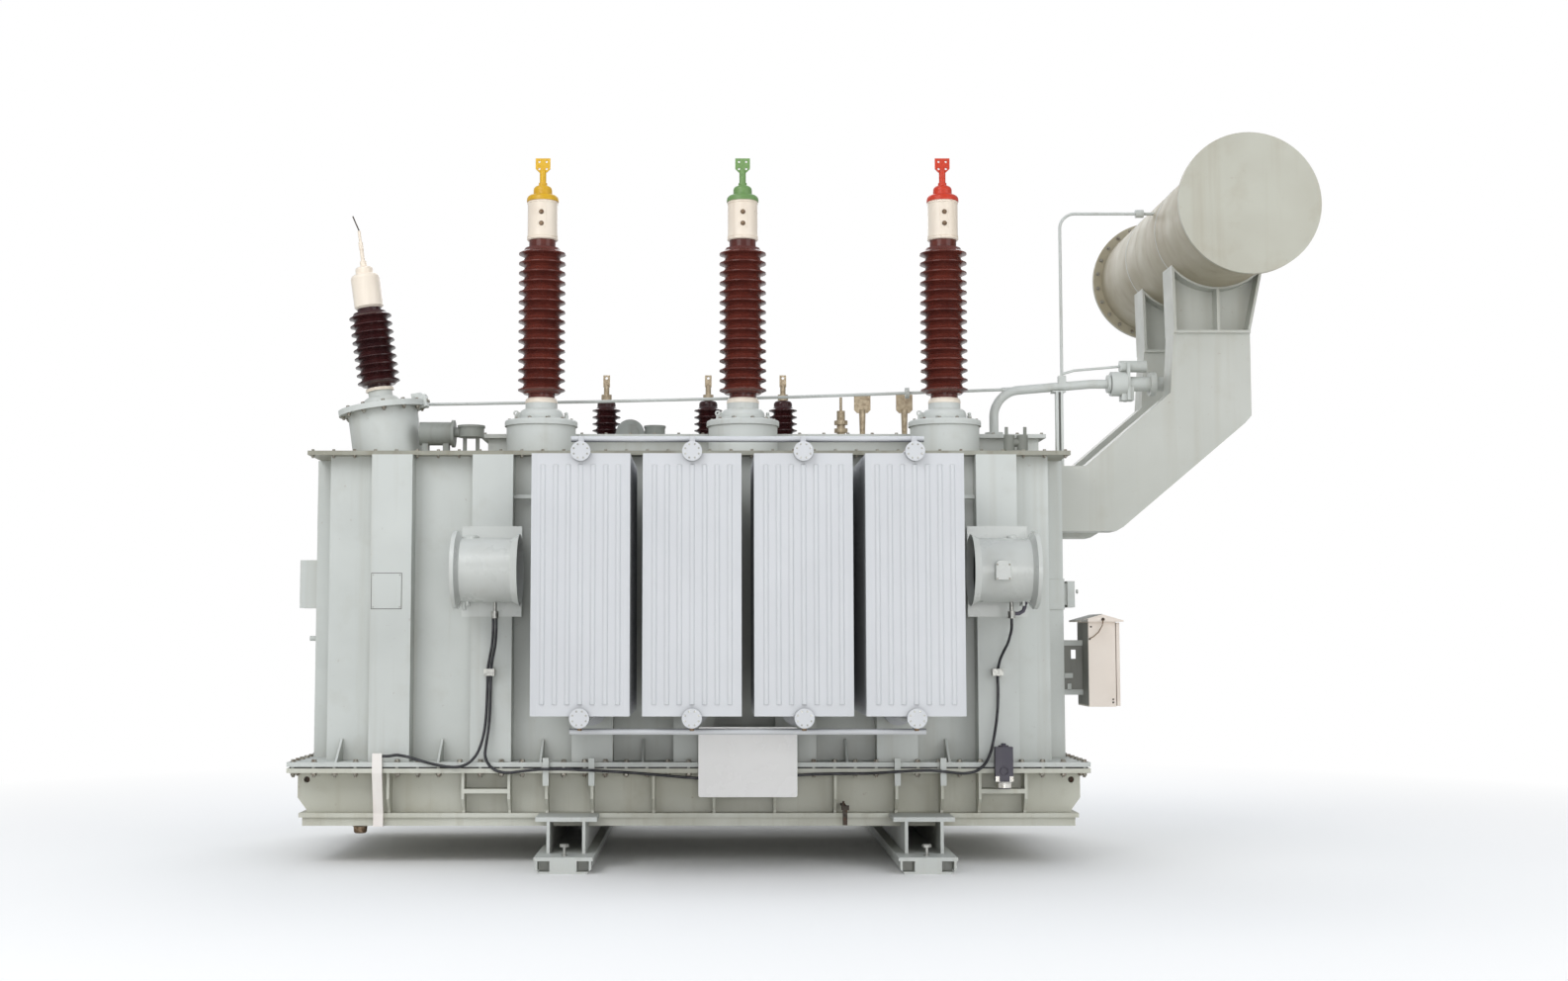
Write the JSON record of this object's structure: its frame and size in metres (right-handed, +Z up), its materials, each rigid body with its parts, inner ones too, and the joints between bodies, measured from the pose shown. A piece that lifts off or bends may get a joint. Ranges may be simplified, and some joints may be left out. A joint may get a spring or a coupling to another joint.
{
  "type": "power transformer",
  "caption": "Oil-filled outdoor power transformer on skid beams, with panel radiators, fans, tall ribbed bushings, an overhead oil conservator and a control cabinet.",
  "frame": {"origin": "on the ground, at the middle of the whole object seen from above", "axes": "+X along the tank towards the conservator, +Y from the front to the rear, +Z up"},
  "size_m": [5.979, 4.022, 4.208],
  "materials": {
    "cabinet_paint": "cream enamel",
    "cable_black": "black sheath",
    "cap_metal": "cream enamel",
    "dark_grey": "dark grey enamel",
    "fan_paint": "grey enamel",
    "galvanised": "dull zinc",
    "gasket_rubber": "black rubber",
    "phase_green": "gloss paint",
    "phase_red": "gloss paint",
    "phase_yellow": "gloss paint",
    "plastic_white": "white plastic",
    "porcelain": "brown glaze",
    "radiator_paint": "pale grey enamel",
    "rotor_dark": "dark enamel",
    "tank_paint": "weathered grey-green enamel",
    "terminal_metal": "dull tinned metal",
    "sign_white": "white enamel",
    "clear_glass": "clear glass"
  },
  "bodies": {
    "transformer": {"air_dryer": "dark_grey", "base_tank": "tank_paint", "bell_tank": "tank_paint", "breather_pipe": "tank_paint", "cabinet_body": "cabinet_paint", "cabinet_brackets": "tank_paint", "cable_clips": "galvanised", "cable_left": "cable_black", "cable_link": "cable_black", "cable_trunking": "plastic_white", "conservator_arm_front": "tank_paint", "conservator_arm_rear": "tank_paint", "conservator_cradles": "tank_paint", "conservator_front_end": "tank_paint", "conservator_rear_end": "tank_paint", "conservator_shell": "tank_paint", "end_boxes": "tank_paint", "fan_brackets": "fan_paint", "fan_duct_front_left": "fan_paint", "fan_duct_front_right": "fan_paint", "fan_duct_rear_left": "fan_paint", "fan_duct_rear_right": "fan_paint", "fan_motors": "fan_paint", "flange_clamps": "tank_paint", "flange_gasket": "gasket_rubber", "gas_pipe": "tank_paint", "gas_relay": "tank_paint", "hv_cap_a": "phase_yellow", "hv_cap_b": "phase_green", "hv_cap_c": "phase_red", "hv_porcelain": "porcelain", "hv_sleeves": "cap_metal", "hv_turrets": "tank_paint", "lid_fittings": "tank_paint", "lid_frame": "tank_paint", "lv_porcelain": "porcelain", "lv_terminals": "terminal_metal", "neutral_cap": "cap_metal", "neutral_porcelain": "porcelain", "neutral_turret": "tank_paint", "oil_pipe": "tank_paint", "pipe_post": "tank_paint", "radiator_front_1": "radiator_paint", "radiator_front_2": "radiator_paint", "radiator_front_3": "radiator_paint", "radiator_front_4": "radiator_paint", "radiator_rear_1": "radiator_paint", "radiator_rear_2": "radiator_paint", "radiator_rear_3": "radiator_paint", "radiator_rear_4": "radiator_paint", "radiator_ties": "radiator_paint", "runner_left": "tank_paint", "runner_right": "tank_paint", "tank_lid": "tank_paint"},
    "fan_front_left_rotor": {"fan_rotor_front_left": "rotor_dark"},
    "fan_front_right_rotor": {"fan_rotor_front_right": "rotor_dark"},
    "fan_rear_left_rotor": {"fan_rotor_rear_left": "rotor_dark"},
    "fan_rear_right_rotor": {"fan_rotor_rear_right": "rotor_dark"},
    "cabinet_door_leaf": {"cabinet_door": "cabinet_paint"}
  },
  "joints": [
    {"name": "fan_front_left_spin", "type": "hinge", "parent": "transformer", "child": "fan_front_left_rotor", "pos_m": [-1.7745, -1.175, 1.678], "axis": [1, 0, 0], "continuous": true},
    {"name": "fan_front_right_spin", "type": "hinge", "parent": "transformer", "child": "fan_front_right_rotor", "pos_m": [1.1475, -1.175, 1.678], "axis": [1, 0, 0], "continuous": true},
    {"name": "fan_rear_left_spin", "type": "hinge", "parent": "transformer", "child": "fan_rear_left_rotor", "pos_m": [-1.7745, 1.175, 1.678], "axis": [1, 0, 0], "continuous": true},
    {"name": "fan_rear_right_spin", "type": "hinge", "parent": "transformer", "child": "fan_rear_right_rotor", "pos_m": [1.1475, 1.175, 1.678], "axis": [1, 0, 0], "continuous": true},
    {"name": "cabinet_door_hinge", "type": "hinge", "parent": "transformer", "child": "cabinet_door_leaf", "pos_m": [1.9045, -0.325, 0.887], "axis": [0, 0, 1], "range_deg": [0, 110]}
  ]
}
